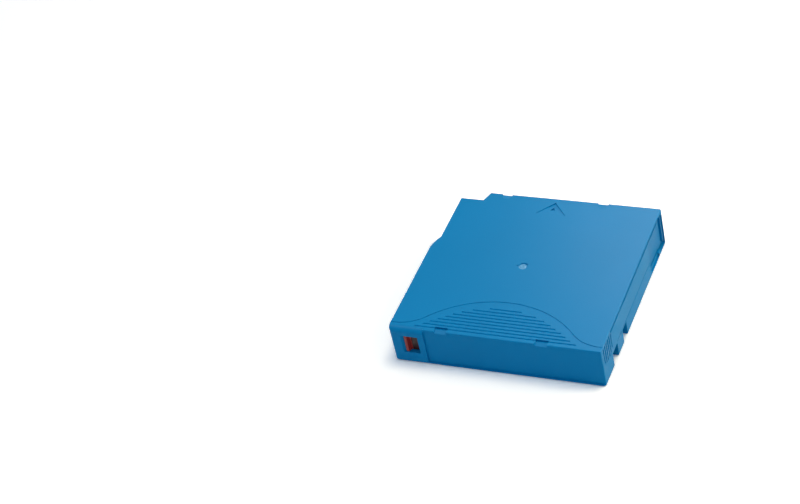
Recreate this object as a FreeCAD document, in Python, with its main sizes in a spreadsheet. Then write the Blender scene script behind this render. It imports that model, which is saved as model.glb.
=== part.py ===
import FreeCAD, Part
import math
import os
from collections import namedtuple

import Sketcher
from FreeCAD import Placement, Rotation, Vector

# Data tape cartridge: one reel of half-inch tape in a two-piece moulded case.
# X runs across the case, +Y is the way it goes into the drive, Z is up.
# The origin is at the middle of the underside.

doc = FreeCAD.newDocument("DataTapeCartridge")
sheet = doc.addObject("Spreadsheet::Sheet", "Sizes")

driving_sizes = [
    # case
    ("half_width", 52.7, "case, half of its width"),
    ("half_depth", 51.0, "case, half of its depth"),
    ("case_height", 21.5, "case, underside to top"),
    ("parting_height", 8.8, "height of the seam between the shells"),
    ("wall", 1.6, "side wall"),
    ("floor_plate", 1.8, "floor thickness"),
    ("top_plate", 1.8, "top thickness"),
    ("overlap", 0.2, "how far a rib or boss is sunk into its own wall"),
    ("side_step", 2.95, "left side set in towards the front"),
    ("step_start", 5.5, "where that step begins"),
    ("step_run", 10.5, "length of the step"),
    ("step_round", 17.0, "outer radius of the step"),
    ("nose_depth", 5.9, "front left corner cut back"),
    ("nose_side", 37.8, "inner end of that cut"),
    ("nose_slant", 2.05, "lean of its inner side"),
    ("corner_round", 1.6, "upright corners"),
    ("nose_round", 0.7, "upright corners at the cut"),
    ("edge_round", 0.4, "top edges"),
    ("foot_round", 0.7, "bottom edges"),
    ("rear_round", 3.0, "soft top edge beside the label"),
    ("seam_reveal", 0.35, "open line at the seam"),
    ("seam_rear", 29.4, "where that line begins"),
    ("reveal_height", 0.3, "height of that line"),
    # label recess in the rear wall
    ("label_depth", 0.8, "label recess"),
    ("label_left", 35.4, "left end of the recess"),
    ("label_foot", 1.0, "ledge under the label"),
    ("foot_lift", 0.5, "rear underside raised beside the recess"),
    ("foot_lift_depth", 3.5, "how far that reaches under"),
    ("foot_lift_side", 29.0, "inner end of that lift"),
    # bell line and finger grooves on top
    ("bell_centre", 76.0, "centre of the bell's arc, behind the middle"),
    ("bell_radius", 50.4, "radius of the bell's arc"),
    ("bell_flare", 20.0, "radius of its flared sides"),
    ("bell_base", 47.2, "where the flares run out"),
    ("bell_line", 0.6, "width of the line"),
    ("bell_cut", 0.22, "depth of the line"),
    ("grip_first", 31.0, "first finger groove, behind the middle"),
    ("grip_pitch", 2.11, "from groove to groove"),
    ("grip_count", 9, "finger grooves"),
    ("grip_width", 1.3, "groove, across its mouth"),
    ("grip_depth", 0.4, "groove depth"),
    ("grip_inset", 4.7, "groove ends to the bell line"),
    ("grip_even", 4, "grooves that keep to that inset"),
    ("grip_spread", 0.69, "how much longer each later one is at both ends"),
    # arrow, gate mark and edge pockets
    ("arrow_tip", 47.9, "tip of the arrow"),
    ("arrow_middle", -0.4, "middle of the arrow"),
    ("arrow_base", 39.2, "foot of the arrow"),
    ("arrow_half", 7.6, "half of the arrow's width"),
    ("arrow_depth", 0.65, "arrow depth at its tip"),
    ("arrow_step", 0.25, "arrow depth at its foot"),
    ("dot_place", 43.4, "small triangle in the arrow"),
    ("dot_half", 1.3, "half of its width"),
    ("dot_depth", 1.2, "its depth under the top"),
    ("gate_radius", 2.3, "gate mark"),
    ("gate_ring", 1.5, "foot of the knob in the gate mark"),
    ("gate_bore", 0.4, "pin marks"),
    ("gate_depth", 0.4, "depth of the mark"),
    ("pocket_left", 29.6, "left edge pocket, outer end"),
    ("pocket_right", 20.5, "right edge pocket, inner end"),
    ("pocket_width", 6.2, "edge pocket"),
    ("pocket_front", 47.0, "front of the rear pocket"),
    ("pocket_depth", 1.0, "rear pocket depth"),
    ("front_pocket", 0.9, "front pocket depth at the front"),
    ("front_reach", 3.6, "front pocket, back from the front"),
    ("front_slant", 1.6, "slant of its ends"),
    # side grip and side groove
    ("rib_first", 47.2, "first side rib groove, behind the middle"),
    ("rib_pitch", 2.2, "from groove to groove"),
    ("rib_count", 6, "side rib grooves"),
    ("rib_width", 0.9, "side rib groove"),
    ("rib_depth", 0.45, "its depth"),
    ("rib_top", 20.3, "its upper end"),
    ("rib_low", 9.5, "lower end of the longest one"),
    ("side_groove_low", 19.75, "side groove, lower edge"),
    ("side_groove_high", 21.05, "side groove, upper edge"),
    ("side_groove_cut", 0.7, "side groove depth"),
    ("side_groove_rear", 36.0, "side groove, rear end"),
    ("side_groove_front", 45.0, "side groove, front end"),
    # picker notches in the lower edges
    ("notch_rear", 36.9, "rear notch, rear end"),
    ("notch_length", 7.2, "rear notch"),
    ("notch_depth", 4.2, "rear notch, into the case"),
    ("notch_height", 7.9, "both notches"),
    ("second_rear", 21.1, "second notch, rear end"),
    ("second_length", 6.0, "second notch"),
    ("second_depth", 3.2, "second notch, into the case"),
    ("notch_wall", 1.2, "wall round a notch"),
    # screws
    ("screw_side", 44.0, "rear screws from the middle"),
    ("screw_rear", 36.0, "rear screws behind the middle"),
    ("screw_front", 39.5, "front left screw"),
    ("screw_door_side", 38.5, "front right screw, clear of the tape"),
    ("screw_door_front", 35.0, "front right screw"),
    ("boss_radius", 3.2, "screw bosses"),
    ("screw_radius", 1.2, "screw shank"),
    ("screw_hole", 1.35, "clearance hole"),
    ("screw_length", 13.0, "screw under its head"),
    ("head_radius", 2.3, "screw head"),
    ("head_height", 1.4, "screw head"),
    ("head_bore", 2.7, "counterbore"),
    ("head_seat", 2.6, "counterbore depth"),
    ("cross_width", 0.6, "driver cross"),
    ("cross_depth", 0.8, "driver cross"),
    # locating hole and slot in the floor
    ("locator_radius", 2.5, "locating hole"),
    ("locator_side", 33.0, "its place"),
    ("locator_front", 44.5, "its place"),
    ("slot_side", 27.0, "locating slot"),
    ("slot_half", 1.5, "half of the slot's straight part"),
    ("locator_rim", 0.8, "rim round hole and slot"),
    # door and its channel
    ("opening_rear", 26.0, "rear end of the opening"),
    ("door_wall", 1.2, "case wall over the door's channel"),
    ("door_thick", 1.2, "door panel"),
    ("door_gap", 0.15, "running gap round the door"),
    ("door_rear", 24.0, "rear end of the closed door"),
    ("door_front", 48.8, "front end of the closed door"),
    ("door_travel", 21.8, "how far the door slides back"),
    ("door_end_gap", 0.2, "door to floor and top"),
    ("sill_height", 3.0, "wall left under the opening"),
    ("lip_height", 2.5, "wall left over the opening"),
    ("corner_wall", 0.8, "front wall beside the door's front end"),
    ("corner_rear", 45.6, "sill lowered from here to that wall"),
    ("corner_floor", 0.8, "floor under it"),
    ("rail_width", 1.2, "inner door rails"),
    ("rail_height", 1.5, "inner door rails"),
    ("rail_front", 37.5, "front end of the rails"),
    ("sill_cut_rear", 27.0, "recess in the sill"),
    ("sill_cut_front", 40.8, "recess in the sill"),
    ("sill_cut_lean", 2.2, "its leaning front side"),
    ("sill_cut_low", 0.7, "lower edge of that recess"),
    ("sill_cut_depth", 0.9, "recess in the sill"),
    ("spring_height", 14.0, "axis of the door spring"),
    ("spring_anchor", 26.0, "rear seat of the door spring, behind the middle"),
    ("spring_seat", 1.5, "thickness of that seat"),
    ("spring_radius", 1.3, "door spring, mean"),
    ("spring_wire", 0.35, "door spring wire"),
    ("spring_stub", 0.9, "pins that hold the spring's ends"),
    ("stub_length", 2.5, "length of those pins"),
    ("spring_turns", 16, "door spring"),
    ("tab_height", 1.0, "finger edge at the door's front"),
    # reel
    ("reel_x", -1.6, "reel axis"),
    ("reel_y", 0.5, "reel axis"),
    ("flange_radius", 48.0, "reel flanges"),
    ("flange_thick", 1.0, "reel flanges"),
    ("flange_taper", 0.15, "flange thinner at its rim"),
    ("reel_base", 2.7, "underside of the lower flange"),
    ("tape_width", 12.65, "half-inch tape"),
    ("tape_play", 0.1, "tape to a flange"),
    ("pack_radius", 46.98, "wound tape"),
    ("hub_radius", 22.0, "hub"),
    ("hub_wall", 2.8, "hub wall"),
    ("hub_floor", 1.7, "hub floor thickness"),
    ("hub_foot", 2.2, "underside of the hub floor"),
    ("window_radius", 21.0, "hub window in the case floor"),
    ("window_rim", 2.2, "rim round the window"),
    ("window_rim_height", 0.6, "height of that rim"),
    ("drive_teeth", 60, "drive teeth under the hub"),
    ("drive_outer", 20.3, "drive teeth"),
    ("drive_inner", 17.0, "drive teeth"),
    ("drive_height", 1.1, "drive teeth"),
    ("drive_width", 1.5, "drive teeth at their foot"),
    ("collar_wall", 1.2, "collar of the upper flange"),
    ("collar_depth", 2.0, "collar into the hub"),
    ("collar_gap", 0.1, "collar to hub"),
    ("plate_outer", 16.0, "clutch plate"),
    ("plate_inner", 6.0, "clutch plate"),
    ("plate_thick", 0.8, "clutch plate"),
    ("plate_hole", 2.1, "holes for the release legs"),
    # brake
    ("brake_teeth", 36, "brake teeth, a multiple of twelve"),
    ("brake_outer", 14.5, "brake teeth"),
    ("brake_inner", 12.5, "brake teeth"),
    ("brake_tooth", 1.6, "brake tooth height"),
    ("brake_width", 1.7, "brake tooth at its foot"),
    ("brake_plinth", 0.6, "ring under the hub's brake teeth"),
    ("brake_mesh", 1.0, "how deep the teeth engage"),
    ("brake_disc", 1.4, "brake disc thickness"),
    ("brake_radius", 15.2, "brake disc"),
    ("sleeve_radius", 5.6, "brake sleeve"),
    ("sleeve_height", 7.1, "brake sleeve above the disc"),
    ("post_half", 3.0, "square post on the top shell"),
    ("post_gap", 0.15, "post to sleeve"),
    ("post_foot", 11.0, "lower end of the post"),
    ("coil_radius", 6.8, "brake spring, mean"),
    ("coil_wire", 0.7, "brake spring wire"),
    ("coil_turns", 5, "brake spring"),
    ("coil_gap", 0.1, "spring ends to their seats"),
    ("ring_gap", 0.3, "spring to its centring ring"),
    ("ring_wall", 0.8, "centring ring"),
    ("ring_depth", 1.0, "centring ring"),
    ("spider_radius", 7.0, "release spider"),
    ("spider_thick", 1.2, "release spider"),
    ("spider_gap", 0.2, "spider to hub floor and brake"),
    ("leg_place", 10.0, "release legs from the axis"),
    ("leg_radius", 1.5, "release legs"),
    ("leg_hole", 1.9, "holes in the hub floor"),
    ("leg_tip", 1.5, "lower ends of the legs"),
    ("arm_width", 3.6, "spider arms"),
    ("dome_radius", 2.5, "brake's thrust nub"),
    # leader pin, clip, leader and pin springs
    ("pin_x", 45.3, "leader pin"),
    ("pin_y", 45.2, "leader pin"),
    ("pin_seat", 0.7, "pin seats in floor and top"),
    ("pin_end_gap", 0.15, "pin to the seats"),
    ("pin_flange", 3.0, "end flanges"),
    ("pin_flange_thick", 1.3, "end flanges"),
    ("pin_neck", 1.3, "grooves that the drive takes"),
    ("pin_neck_length", 0.65, "grooves"),
    ("pin_collar", 2.4, "inner flanges"),
    ("pin_collar_thick", 0.55, "inner flanges"),
    ("pin_core", 1.1, "core that holds the leader"),
    ("clip_wall", 0.7, "C clip"),
    ("clip_gap", 0.05, "clip to core"),
    ("clip_mouth", 0.5, "half of the clip's mouth"),
    ("clip_length", 11.9, "C clip"),
    ("leader_thick", 0.12, "leader"),
    ("leader_gap", 0.3, "leader to the turning pack"),
    ("wire_width", 0.5, "pin springs"),
    ("wire_post_x", 37.0, "pin spring posts"),
    ("wire_post_y", 47.9, "pin spring posts"),
    ("wire_post", 0.8, "pin spring posts"),
    ("wire_thick", 0.35, "pin springs"),
    ("wire_level", 0.3, "pin springs over floor and under top"),
    ("wire_reach", 0.1, "spring to the pin's flange"),
    # write-protect tab
    ("window_left", 46.0, "tab window, outer side"),
    ("window_right", 38.6, "tab window, inner side"),
    ("window_low", 6.3, "tab window"),
    ("window_high", 16.6, "tab window"),
    ("tab_gap", 0.15, "tab to its window and guides"),
    ("window_bevel", 1.3, "bevel on its outer side"),
    ("tab_width", 2.6, "tab in the window"),
    ("tab_proud", 0.5, "tab face behind the rear face"),
    ("tab_step", 1.9, "its inner side set back"),
    ("tab_ridge", 1.2, "width of its raised part"),
    ("tab_carrier", 1.5, "slide behind the window"),
    ("tab_carrier_side", 3.2, "slide, beyond the tab"),
    ("ledge_low", 5.0, "lower tab ledge"),
    ("ledge_high", 18.0, "upper tab ledge"),
    ("fence", 1.0, "rib in front of the tab's slide"),
    ("fence_rise", 1.4, "how far that rib stands past the ledge"),
    ("fence_side", 37.4, "inner end of ledge and rib"),
    # memory
    ("memory_left", 37.5, "memory board"),
    ("memory_length", 12.5, "memory board"),
    ("memory_width", 8.4, "memory board"),
    ("memory_thick", 0.8, "memory board"),
    ("gusset_leg", 6.4, "gussets that carry it"),
    ("gusset_thick", 1.0, "gussets"),
    ("gusset_inset", 1.5, "gussets from the board's ends"),
    ("chip_side", 3.0, "chip"),
    ("chip_thick", 0.7, "chip"),
]


class Dim:
    """A size: its present number, and the formula that ties it to the sheet."""

    def __init__(self, number, formula=None):
        self.number = float(number)
        self.formula = formula or f"({self.number:.6f})"

    def joined(self, other, sign, number):
        return Dim(number, f"({self.formula} {sign} {dim(other).formula})")

    def __add__(self, other):
        return self.joined(other, "+", self.number + dim(other).number)

    def __sub__(self, other):
        return self.joined(other, "-", self.number - dim(other).number)

    def __mul__(self, other):
        return self.joined(other, "*", self.number * dim(other).number)

    def __truediv__(self, other):
        return self.joined(other, "/", self.number / dim(other).number)

    def __neg__(self):
        return Dim(0) - self

    def __radd__(self, other):
        return dim(other) + self

    def __rsub__(self, other):
        return dim(other) - self

    def __rmul__(self, other):
        return dim(other) * self


def dim(amount):
    return amount if isinstance(amount, Dim) else Dim(amount)


def root(amount):
    return Dim(math.sqrt(amount.number), f"sqrt({amount.formula})")


def fill_sheet():
    """Writes the driving sizes to the sheet and gives them back by name."""
    for row, (alias, number, meaning) in enumerate(driving_sizes, 1):
        sheet.set(f"A{row}", alias)
        sheet.set(f"B{row}", str(number))
        sheet.set(f"C{row}", meaning)
        sheet.setAlias(f"B{row}", alias)
    doc.recompute()
    named = {alias: Dim(number, f"Sizes.{alias}") for alias, number, meaning in driving_sizes}
    return namedtuple("Sizes", named)(**named)


s = fill_sheet()

inner_top = s.case_height - s.top_plate
rear_inner = -s.half_depth + s.label_depth + s.wall
side_inner = s.half_width - s.wall
door_outer = s.half_width - s.door_wall - s.door_gap
door_inner = door_outer - s.door_thick
channel_face = s.half_width - s.door_wall
spring_line = channel_face - s.door_gap - s.spring_radius - s.spring_wire / 2
tape_low = s.reel_base + s.flange_thick + s.tape_play
hub_top = tape_low + s.tape_width + s.tape_play
hub_inner = s.hub_radius - s.hub_wall
hub_floor_top = s.hub_foot + s.hub_floor
hub_teeth_foot = hub_floor_top + s.brake_plinth
brake_tip = hub_teeth_foot + s.brake_tooth - s.brake_mesh
brake_foot = brake_tip + s.brake_tooth
brake_low = brake_foot + s.brake_plinth / 2
brake_high = brake_low + s.brake_disc
spider_low = hub_floor_top + s.spider_gap
spider_high = spider_low + s.spider_thick

screw_places = [
    (-s.screw_side, -s.screw_rear),
    (s.screw_side, -s.screw_rear),
    (-s.screw_side, s.screw_front),
    (s.screw_door_side, s.screw_door_front),
]

Circle = namedtuple("Circle", "x y radius")
normal_ways = {"XY_Plane": 1, "XZ_Plane": -1, "YZ_Plane": 1}
clear = 1.0  # how far a cut starts outside the solid


def bind(thing, path, amount):
    thing.setExpression(path, dim(amount).formula)


def new_body(label, x=0, y=0, z=0):
    body = doc.addObject("PartDesign::Body", label)
    body.Label = label
    body.Placement = Placement(Vector(dim(x).number, dim(y).number, dim(z).number), Rotation())
    for axis, amount in (("x", x), ("y", y), ("z", z)):
        bind(body, f".Placement.Base.{axis}", amount)
    return body


def origin_of(body, role):
    return next(item for item in body.Origin.OriginFeatures if item.Role == role)


def new_sketch(body, name, plane, level):
    """A sketch on one of the body's own planes, moved along the plane's axis to level."""
    sketch = body.newObject("Sketcher::SketchObject", name)
    sketch.AttachmentSupport = (origin_of(body, plane), [""])
    sketch.MapMode = "FlatFace"
    shift = normal_ways[plane] * dim(level)
    sketch.AttachmentOffset = Placement(Vector(0, 0, shift.number), Rotation())
    bind(sketch, ".AttachmentOffset.Base.z", shift)
    return sketch


def lock(sketch, kind, geometry, point, amount):
    """One dimension of a sketch, tied to the sheet."""
    amount = dim(amount)
    if point is None:
        constraint = Sketcher.Constraint(kind, geometry, amount.number)
    else:
        constraint = Sketcher.Constraint(kind, geometry, point, amount.number)
    index = sketch.addConstraint(constraint)
    bind(sketch, f"Constraints[{index}]", amount)


def arc_middle(here, there, radius, side):
    """Middle of the short arc from here to there. It bulges left for side 1, right for -1."""
    chord = there - here
    rise = radius - math.sqrt(max(radius**2 - chord.Length**2 / 4, 0))
    left = Vector(-chord.y, chord.x, 0).normalize()
    return (here + there) / 2 + left * rise * side


def draw(sketch, loop):
    """Draws a circle, or a closed outline whose corners are (x, y), or (x, y, radius, side)
    where an arc leads on to the next corner."""
    if isinstance(loop, Circle):
        x, y, radius = (dim(amount) for amount in loop)
        shape = Part.Circle(Vector(x.number, y.number, 0), Vector(0, 0, 1), radius.number)
        index = sketch.addGeometry(shape, False)
        lock(sketch, "DistanceX", index, 3, x)
        lock(sketch, "DistanceY", index, 3, y)
        lock(sketch, "Radius", index, None, radius)
        return
    spots = [Vector(dim(corner[0]).number, dim(corner[1]).number, 0) for corner in loop]
    edges = []
    for number, corner in enumerate(loop):
        here = spots[number]
        there = spots[(number + 1) % len(loop)]
        if len(corner) == 2:
            edges.append((sketch.addGeometry(Part.LineSegment(here, there), False), 1, 2))
            continue
        middle = arc_middle(here, there, dim(corner[2]).number, corner[3])
        index = sketch.addGeometry(Part.Arc(here, middle, there), False)
        edges.append((index, 1, 2) if corner[3] < 0 else (index, 2, 1))
    for number, corner in enumerate(loop):
        index, start, end = edges[number]
        before, before_start, before_end = edges[number - 1]
        sketch.addConstraint(Sketcher.Constraint("Coincident", before, before_end, index, start))
        lock(sketch, "DistanceX", index, start, corner[0])
        lock(sketch, "DistanceY", index, start, corner[1])
        if len(corner) > 2:
            lock(sketch, "Radius", index, None, corner[2])


def rectangle(left, low, right, high):
    return [(left, low), (right, low), (right, high), (left, high)]


def prism(body, kind, name, plane, start, length, *loops):
    """Pads or pockets the loops from start along the plane's axis."""
    sketch = new_sketch(body, name + "Sketch", plane, start)
    for loop in loops:
        draw(sketch, loop)
    feature = body.newObject("PartDesign::" + kind, name)
    feature.Profile = sketch
    bind(feature, "Length", length)
    feature.Reversed = (normal_ways[plane] < 0) == (kind == "Pad")
    return feature


def turned(body, kind, name, outline):
    """Revolution or Groove of an outline of (radius, height) round the body's Z axis."""
    sketch = new_sketch(body, name + "Sketch", "XZ_Plane", 0)
    draw(sketch, outline)
    feature = body.newObject("PartDesign::" + kind, name)
    feature.Profile = sketch
    feature.ReferenceAxis = (origin_of(body, "Z_Axis"), [""])
    feature.Angle = 360
    return feature


def ring_of(body, name, feature, count):
    """Repeats a feature round the body's Z axis."""
    pattern = body.newObject("PartDesign::PolarPattern", name)
    pattern.Originals = [feature]
    pattern.Axis = (origin_of(body, "Z_Axis"), [""])
    pattern.Angle = 360
    bind(pattern, "Occurrences", count)
    body.Tip = pattern
    return pattern


def round_edges(body, name, radius, picks):
    """Fillets the edges of the body's last feature that picks accepts."""
    doc.recompute()
    tip = body.Tip
    names = [f"Edge{number}" for number, edge in enumerate(tip.Shape.Edges, 1) if picks(edge)]
    fillet = body.newObject("PartDesign::Fillet", name)
    fillet.Base = (tip, names)
    bind(fillet, "Radius", radius)
    return fillet


def near(one, other):
    return abs(one - dim(other).number) < 0.01


def upright_at(edge, places):
    """True for a vertical edge that stands at one of the places."""
    ends = [vertex.Point for vertex in edge.Vertexes]
    if len(ends) != 2 or (ends[0] - ends[1]).cross(Vector(0, 0, 1)).Length > 0.01:
        return False
    return any(near(ends[0].x, x) and near(ends[0].y, y) for x, y in places)


def level_at(edge, height, accepts):
    """True for an edge that lies wholly at a height and whose middle accepts takes."""
    ends = [vertex.Point for vertex in edge.Vertexes]
    if not ends or not all(near(end.z, height) for end in ends):
        return False
    middle = edge.valueAt((edge.FirstParameter + edge.LastParameter) / 2)
    return near(middle.z, height) and accepts(middle)


# ---- the case ----

def case_outline(inset, rear_inset=None):
    """Plan of the case moved inwards: stepped left side, front left corner cut back."""
    rear_inset = inset if rear_inset is None else rear_inset
    left = -s.half_width + inset
    right = s.half_width - inset
    rear = -s.half_depth + rear_inset
    front = s.half_depth - inset
    set_in = left + s.side_step
    slope = s.side_step / s.step_run
    around = 1 + slope * slope
    small_round = s.step_run * around / (2 * slope) - s.step_round
    big = s.step_round - inset
    small = small_round + inset
    meet_x = left + big * 2 * slope * slope / around
    meet_y = s.step_start + big * 2 * slope / around
    slant = root(s.nose_depth * s.nose_depth + s.nose_slant * s.nose_slant)
    shift = inset * (slant - s.nose_slant) / s.nose_depth
    return [
        (left, rear),
        (right, rear),
        (right, front),
        (-s.nose_side + s.nose_slant + shift, front),
        (-s.nose_side + shift, front - s.nose_depth),
        (set_in, front - s.nose_depth),
        (set_in, s.step_start + s.step_run, small, 1),
        (meet_x, meet_y, big, -1),
        (left, s.step_start),
    ]


def block_case(body, low, high):
    """The outer block of a shell with its upright corners rounded."""
    prism(body, "Pad", "Outline", "XY_Plane", low, high - low, case_outline(dim(0)))
    corners = [
        (-s.half_width, -s.half_depth),
        (s.half_width, -s.half_depth),
    ]
    round_edges(body, "RearCorners", s.corner_round, lambda edge: upright_at(edge, corners))
    nose = [
        (-s.half_width + s.side_step, s.half_depth - s.nose_depth),
        (-s.nose_side + s.nose_slant, s.half_depth),
        (s.half_width, s.half_depth),
    ]
    round_edges(body, "FrontCorners", s.nose_round, lambda edge: upright_at(edge, nose))


def label_recess(body, low, high):
    """The rear face is set in where the label goes, open at its right end."""
    prism(body, "Pocket", "LabelRecess", "XZ_Plane", -s.half_depth - clear, s.label_depth + clear,
          rectangle(-s.label_left, low, s.half_width + clear, high))


def soft_rear_edge(body):
    """Large radius on the rear top edge, beside the label recess only."""
    rear = -s.half_depth
    top = s.case_height
    prism(body, "Pocket", "SoftRearEdge", "YZ_Plane", -s.half_width - clear,
          s.half_width - s.label_left + clear,
          [(rear - clear, top + clear), (rear - clear, top - s.rear_round),
           (rear, top - s.rear_round, s.rear_round, 1), (rear + s.rear_round, top),
           (rear + s.rear_round, top + clear)])


def tab_window(body, low, high):
    prism(body, "Pocket", "TabWindow", "XZ_Plane", -s.half_depth - clear,
          s.label_depth + s.wall + 2 * clear,
          rectangle(-s.window_left, low, -s.window_right, high))
    reach = s.window_bevel + clear
    prism(body, "Pocket", "TabBevel", "XY_Plane", low, high - low,
          [(-s.window_left - reach, -s.half_depth - clear), (-s.window_left, -s.half_depth - clear),
           (-s.window_left, reach - s.half_depth - clear)])


def tab_guide(body, ledge, plate_side, past):
    """Ledge that the write-protect slide runs on, with a rib in front of it."""
    slide_front = rear_inner + s.tab_gap + s.tab_carrier + s.tab_gap
    prism(body, "Pad", "TabGuide", "YZ_Plane", -side_inner - s.overlap,
          side_inner + s.overlap - s.fence_side,
          [(rear_inner - s.overlap, plate_side), (slide_front + s.fence, plate_side),
           (slide_front + s.fence, past), (slide_front, past),
           (slide_front, ledge), (rear_inner - s.overlap, ledge)])


def pin_seat(body, low, depth, cut_low, cut_depth):
    """Seat of the leader pin, open towards the door, and its way out through the side."""
    gap = s.pin_flange + s.door_gap
    out = s.half_width + clear
    prism(body, "Pocket", "PinSeat", "XY_Plane", low, depth,
          [(out, s.pin_y - gap), (out, s.pin_y + gap), (s.pin_x, s.pin_y + gap, gap, -1),
           (s.pin_x - gap, s.pin_y, gap, -1), (s.pin_x, s.pin_y - gap)])
    prism(body, "Pocket", "PinWayOut", "XY_Plane", cut_low, cut_depth,
          rectangle(channel_face - s.door_gap, s.pin_y - gap, out, s.pin_y + gap))


def door_opening(body, low, high):
    """Opening in the right wall, from its rear end to a thin front wall."""
    prism(body, "Pocket", "DoorOpening", "XY_Plane", low, high - low,
          rectangle(side_inner - clear, s.opening_rear,
                    s.half_width + clear, s.half_depth - s.corner_wall))


def door_channel(body, rear, low, high):
    """The right wall is thinner where the door or its spring runs behind it."""
    prism(body, "Pocket", "DoorChannel", "XY_Plane", low, high - low,
          rectangle(side_inner - clear, rear, channel_face, s.door_front + s.overlap))


def door_rail(body, low, high):
    rail = door_inner - s.door_gap
    prism(body, "Pad", "DoorRail", "XY_Plane", low, high - low,
          rectangle(rail - s.rail_width, s.door_rear - s.door_travel - s.overlap,
                    rail, s.rail_front))


def wire_post(body, low, high):
    prism(body, "Pad", "WirePost", "XY_Plane", low, high - low,
          Circle(s.wire_post_x, s.wire_post_y, s.wire_post))


def bell_side(inset, height):
    """Half width of the bell at a place, inset from its line: arc above, flare below."""
    flare_y = s.bell_flare.number - s.bell_base.number
    reach = s.bell_radius.number + s.bell_flare.number
    flare_x = math.sqrt(reach**2 - (flare_y + s.bell_centre.number) ** 2)
    radius = s.bell_radius.number - inset
    change = -s.bell_centre.number + radius * (flare_y + s.bell_centre.number) / reach
    if height > change:
        return math.sqrt(radius**2 - (height + s.bell_centre.number) ** 2)
    flare = s.bell_flare.number + inset
    return flare_x - math.sqrt(max(flare**2 - (flare_y - height) ** 2, 0))


def bell_edge(offset, end):
    """Bell line from the right side to the left, offset upwards."""
    base = -s.bell_base + offset
    flare_y = s.bell_flare - s.bell_base
    reach = s.bell_radius + s.bell_flare
    rise = flare_y + s.bell_centre
    flare_x = root(reach * reach - rise * rise)
    arc = s.bell_radius + offset
    flare = s.bell_flare - offset
    meet_x = flare_x * arc / reach
    meet_y = rise * arc / reach - s.bell_centre
    return [(end, base), (flare_x, base, flare, 1), (meet_x, meet_y, arc, -1),
            (-meet_x, meet_y, flare, 1), (-flare_x, base), (-end, base)]


def backwards(outline):
    """The same outline walked the other way, with each arc kept on its own stretch."""
    corners = []
    for number in range(len(outline) - 1, -1, -1):
        x, y = outline[number][:2]
        arc = outline[number - 1][2:] if number else ()
        corners.append((x, y) + ((arc[0], -arc[1]) if arc else ()))
    return corners


def bell_line(body):
    end = s.half_width + clear
    half = s.bell_line / 2
    prism(body, "Pocket", "BellLine", "XY_Plane", s.case_height - s.bell_cut, s.bell_cut + clear,
          bell_edge(half, end) + backwards(bell_edge(-half, end)))


def finger_grooves(body):
    """Nine saw-toothed grooves that follow the bell: steep towards the front, sloped behind."""
    top = s.case_height
    for number in range(int(s.grip_count.number)):
        place = -s.grip_first - number * s.grip_pitch
        half = bell_side(s.grip_inset.number, place.number)
        half += s.grip_spread.number * max(number - s.grip_even.number, 0)
        front = place + s.grip_width * 0.4
        floor = place + s.grip_width * 0.2
        rear = place - s.grip_width * 0.6
        prism(body, "Pocket", f"Grip{number + 1}", "YZ_Plane", -half, 2 * half,
              [(front, top + clear), (front, top), (floor, top - s.grip_depth),
               (rear, top), (rear, top + clear)])


def sloped_cut(body, name, x, y, level, fall, run, outline):
    """Pocket whose floor is at level at y and falls towards the front, fall over run."""
    sketch = new_sketch(body, name + "Sketch", "XY_Plane", level)
    tilt = math.degrees(math.atan2(fall.number, run.number))
    height = sketch.AttachmentOffset.Base
    sketch.AttachmentOffset = Placement(height, Rotation(Vector(1, 0, 0), -tilt))
    bind(sketch, ".AttachmentOffset.Base.x", x)
    bind(sketch, ".AttachmentOffset.Base.y", y)
    draw(sketch, outline)
    cut = body.newObject("PartDesign::Pocket", name)
    cut.Profile = sketch
    cut.Reversed = True
    cut.Length = clear


def arrow(body):
    """Arrow that points the way in, deeper towards its tip, with a small triangle in it."""
    run = s.arrow_tip - s.arrow_base
    fall = s.arrow_depth - s.arrow_step
    sloped_cut(body, "Arrow", s.arrow_middle, s.arrow_base, s.case_height - s.arrow_step, fall, run,
               [(-s.arrow_half, dim(0)), (s.arrow_half, dim(0)), (dim(0), root(run * run + fall * fall))])
    prism(body, "Pocket", "ArrowDot", "XY_Plane", s.case_height - s.dot_depth, s.dot_depth,
          [(s.arrow_middle - s.dot_half, s.dot_place - s.dot_half * 0.7),
           (s.arrow_middle + s.dot_half, s.dot_place - s.dot_half * 0.7),
           (s.arrow_middle, s.dot_place + s.dot_half)])


def gate_mark(body):
    """Shallow round recess with a low knob in it, and the runner's two pin marks."""
    floor = s.case_height - s.gate_depth
    prism(body, "Pocket", "GateMark", "XY_Plane", floor, s.gate_depth,
          Circle(s.reel_x, s.reel_y, s.gate_radius))
    knob = prism(body, "Pad", "GateKnob", "XY_Plane", floor - s.overlap,
                 s.gate_depth * 0.8 + s.overlap, Circle(s.reel_x, s.reel_y, s.gate_ring))
    knob.TaperAngle = -45
    prism(body, "Pocket", "PinMarks", "XY_Plane", floor, s.gate_depth,
          Circle(s.reel_x, s.reel_y, s.gate_bore),
          Circle(s.reel_x - s.gate_radius - s.gate_ring / 2, s.reel_y, s.gate_bore))


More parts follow.
